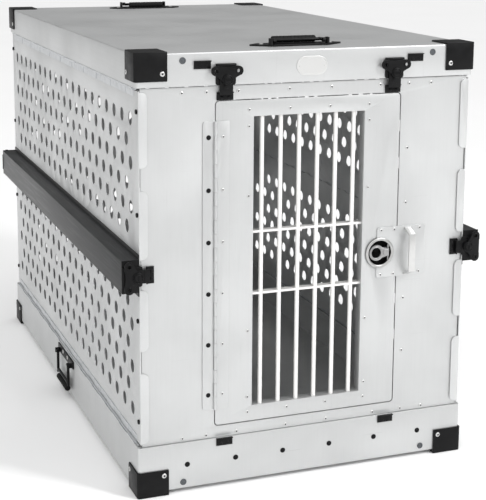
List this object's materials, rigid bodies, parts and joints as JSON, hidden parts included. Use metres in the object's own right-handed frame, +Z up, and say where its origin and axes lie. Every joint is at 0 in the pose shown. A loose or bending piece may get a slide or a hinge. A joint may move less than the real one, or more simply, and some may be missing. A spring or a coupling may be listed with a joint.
{
  "type": "folding aluminium dog crate",
  "caption": "Folding sheet-aluminium dog crate with perforated side walls, a barred door with a slam latch, butterfly latches and folding handles.",
  "frame": {"origin": "centre of the crate's footprint, on the floor; the feet stand on z = 0", "axes": "-Y to the front (the door), +Y to the rear, +X to the right seen from the front, +Z up"},
  "size_m": [0.69, 1.1318, 0.7954],
  "materials": {
    "sheet": "satin mill-finished sheet",
    "trim": "plain drawn rivets and piano hinges",
    "bolt": "ground",
    "rail": "dark grey, satin",
    "caps": "black moulded nylon",
    "hardware": "black powder coat",
    "grip": "black grip on a black bail"
  },
  "bodies": {
    "shell": {"base_tray": "sheet", "lid_tray": "sheet", "left_lower_wall": "sheet", "left_upper_wall": "sheet", "right_lower_wall": "sheet", "right_upper_wall": "sheet", "wall_hinge_leaves": "trim", "wall_hinge_pins": "trim", "left_side_rail": "rail", "right_side_rail": "rail", "rail_end_plates": "caps", "top_corner_caps": "caps", "bottom_corner_caps": "caps", "nylon_buttons": "caps", "shell_keepers": "hardware", "latch_plates": "hardware", "name_plate": "sheet", "handle_brackets": "hardware", "shell_rivets": "trim", "panel_hinge_base_leaves": "trim"},
    "front_end": {"front_panel": "sheet", "front_panel_stiffeners": "sheet", "front_panel_keepers": "hardware", "front_panel_rivets": "trim", "front_panel_hinge_leaves": "trim", "door_hinge_frame_leaf": "trim", "door_hinge_pin": "trim"},
    "door": {"door_panel": "sheet", "door_hinge_door_leaf": "trim", "grille_rods": "sheet", "grille_crossbars": "sheet", "grille_frame": "sheet", "door_rivets": "trim", "lock_plate": "sheet", "pull_handle": "sheet", "slam_latch_housing": "sheet"},
    "paddle": {"slam_latch_paddle": "sheet"},
    "bolt": {"slam_latch_bolt": "bolt"},
    "rear_end": {"rear_panel": "sheet", "rear_panel_fittings": "sheet"},
    "front_top_handle": {"front_top_handle": "grip"},
    "rear_top_handle": {"rear_top_handle": "grip"},
    "left_side_handle": {"left_side_handle": "grip"},
    "right_side_handle": {"right_side_handle": "grip"},
    "lid_latch_wings_front_left": {"lid_latch_wings_front_left": "hardware"},
    "lid_latch_hook_front_left": {"lid_latch_hook_front_left": "hardware"},
    "lid_latch_wings_front_right": {"lid_latch_wings_front_right": "hardware"},
    "lid_latch_hook_front_right": {"lid_latch_hook_front_right": "hardware"},
    "lid_latch_wings_rear_left": {"lid_latch_wings_rear_left": "hardware"},
    "lid_latch_hook_rear_left": {"lid_latch_hook_rear_left": "hardware"},
    "lid_latch_wings_rear_right": {"lid_latch_wings_rear_right": "hardware"},
    "lid_latch_hook_rear_right": {"lid_latch_hook_rear_right": "hardware"},
    "rail_latch_wings_front_left": {"rail_latch_wings_front_left": "hardware"},
    "rail_latch_hook_front_left": {"rail_latch_hook_front_left": "hardware"},
    "rail_latch_wings_front_right": {"rail_latch_wings_front_right": "hardware"},
    "rail_latch_hook_front_right": {"rail_latch_hook_front_right": "hardware"},
    "rail_latch_wings_rear_left": {"rail_latch_wings_rear_left": "hardware"},
    "rail_latch_hook_rear_left": {"rail_latch_hook_rear_left": "hardware"},
    "rail_latch_wings_rear_right": {"rail_latch_wings_rear_right": "hardware"},
    "rail_latch_hook_rear_right": {"rail_latch_hook_rear_right": "hardware"}
  },
  "joints": [
    {"name": "front_panel_fold", "type": "hinge", "parent": "shell", "child": "front_end", "pos_m": [0, -0.5377, 0.0952], "axis": [1, 0, 0], "range_deg": [-88, 0]},
    {"name": "rear_panel_fold", "type": "hinge", "parent": "shell", "child": "rear_end", "pos_m": [0, 0.5453, 0.0952], "axis": [-1, 0, 0], "range_deg": [-85, 0]},
    {"name": "door_swing", "type": "hinge", "parent": "front_end", "child": "door", "pos_m": [-0.1759, -0.5452, 0.4035], "axis": [0, 0, -1], "range_deg": [0, 160]},
    {"name": "paddle_lift", "type": "hinge", "parent": "door", "child": "paddle", "pos_m": [0.1585, -0.5422, 0.4035], "axis": [0, 0, 1], "range_deg": [0, 60], "stiffness_Nm_per_rad": 0.02},
    {"name": "bolt_slide", "type": "slide", "parent": "door", "child": "bolt", "axis": [-1, 0, 0], "range_m": [0, 0.008]},
    {"name": "front_top_handle_swing", "type": "hinge", "parent": "shell", "child": "front_top_handle", "pos_m": [0, -0.4882, 0.7894], "axis": [1, 0, 0], "range_deg": [0, 90]},
    {"name": "rear_top_handle_swing", "type": "hinge", "parent": "shell", "child": "rear_top_handle", "pos_m": [0, 0.4958, 0.7894], "axis": [-1, 0, 0], "range_deg": [0, 90]},
    {"name": "left_side_handle_swing", "type": "hinge", "parent": "shell", "child": "left_side_handle", "pos_m": [-0.3255, 0.0038, 0.077], "axis": [0, 1, 0], "range_deg": [0, 90]},
    {"name": "right_side_handle_swing", "type": "hinge", "parent": "shell", "child": "right_side_handle", "pos_m": [0.3255, 0.0038, 0.077], "axis": [0, -1, 0], "range_deg": [0, 90]},
    {"name": "lid_latch_turn_front_left", "type": "hinge", "parent": "shell", "child": "lid_latch_wings_front_left", "pos_m": [-0.159, -0.5462, 0.733], "axis": [0, -1, 0], "range_deg": [0, 180]},
    {"name": "lid_latch_draw_front_left", "type": "slide", "parent": "shell", "child": "lid_latch_hook_front_left", "axis": [0, 0, -1], "range_m": [0, 0.006]},
    {"name": "lid_latch_turn_front_right", "type": "hinge", "parent": "shell", "child": "lid_latch_wings_front_right", "pos_m": [0.159, -0.5462, 0.733], "axis": [0, -1, 0], "range_deg": [0, 180]},
    {"name": "lid_latch_draw_front_right", "type": "slide", "parent": "shell", "child": "lid_latch_hook_front_right", "axis": [0, 0, -1], "range_m": [0, 0.006]},
    {"name": "lid_latch_turn_rear_left", "type": "hinge", "parent": "shell", "child": "lid_latch_wings_rear_left", "pos_m": [-0.159, 0.5538, 0.733], "axis": [0, 1, 0], "range_deg": [0, 180]},
    {"name": "lid_latch_draw_rear_left", "type": "slide", "parent": "shell", "child": "lid_latch_hook_rear_left", "axis": [0, 0, -1], "range_m": [0, 0.006]},
    {"name": "lid_latch_turn_rear_right", "type": "hinge", "parent": "shell", "child": "lid_latch_wings_rear_right", "pos_m": [0.159, 0.5538, 0.733], "axis": [0, 1, 0], "range_deg": [0, 180]},
    {"name": "lid_latch_draw_rear_right", "type": "slide", "parent": "shell", "child": "lid_latch_hook_rear_right", "axis": [0, 0, -1], "range_m": [0, 0.006]},
    {"name": "rail_latch_turn_front_left", "type": "hinge", "parent": "shell", "child": "rail_latch_wings_front_left", "pos_m": [-0.318, -0.5462, 0.4025], "axis": [0, -1, 0], "range_deg": [0, 180]},
    {"name": "rail_latch_draw_front_left", "type": "slide", "parent": "shell", "child": "rail_latch_hook_front_left", "axis": [1, 0, 0], "range_m": [0, 0.006]},
    {"name": "rail_latch_turn_front_right", "type": "hinge", "parent": "shell", "child": "rail_latch_wings_front_right", "pos_m": [0.318, -0.5462, 0.4025], "axis": [0, -1, 0], "range_deg": [0, 180]},
    {"name": "rail_latch_draw_front_right", "type": "slide", "parent": "shell", "child": "rail_latch_hook_front_right", "axis": [-1, 0, 0], "range_m": [0, 0.006]},
    {"name": "rail_latch_turn_rear_left", "type": "hinge", "parent": "shell", "child": "rail_latch_wings_rear_left", "pos_m": [-0.318, 0.5538, 0.4025], "axis": [0, 1, 0], "range_deg": [0, 180]},
    {"name": "rail_latch_draw_rear_left", "type": "slide", "parent": "shell", "child": "rail_latch_hook_rear_left", "axis": [1, 0, 0], "range_m": [0, 0.006]},
    {"name": "rail_latch_turn_rear_right", "type": "hinge", "parent": "shell", "child": "rail_latch_wings_rear_right", "pos_m": [0.318, 0.5538, 0.4025], "axis": [0, 1, 0], "range_deg": [0, 180]},
    {"name": "rail_latch_draw_rear_right", "type": "slide", "parent": "shell", "child": "rail_latch_hook_rear_right", "axis": [-1, 0, 0], "range_m": [0, 0.006]}
  ],
  "couplings": [
    {"joint": "bolt_slide", "follows": "paddle_lift", "m_per_rad": 0.00763},
    {"joint": "lid_latch_draw_front_left", "follows": "lid_latch_turn_front_left", "m_per_rad": 0.0019},
    {"joint": "lid_latch_draw_front_right", "follows": "lid_latch_turn_front_right", "m_per_rad": 0.0019},
    {"joint": "lid_latch_draw_rear_left", "follows": "lid_latch_turn_rear_left", "m_per_rad": 0.0019},
    {"joint": "lid_latch_draw_rear_right", "follows": "lid_latch_turn_rear_right", "m_per_rad": 0.0019},
    {"joint": "rail_latch_draw_front_left", "follows": "rail_latch_turn_front_left", "m_per_rad": 0.0019},
    {"joint": "rail_latch_draw_front_right", "follows": "rail_latch_turn_front_right", "m_per_rad": 0.0019},
    {"joint": "rail_latch_draw_rear_left", "follows": "rail_latch_turn_rear_left", "m_per_rad": 0.0019},
    {"joint": "rail_latch_draw_rear_right", "follows": "rail_latch_turn_rear_right", "m_per_rad": 0.0019}
  ]
}
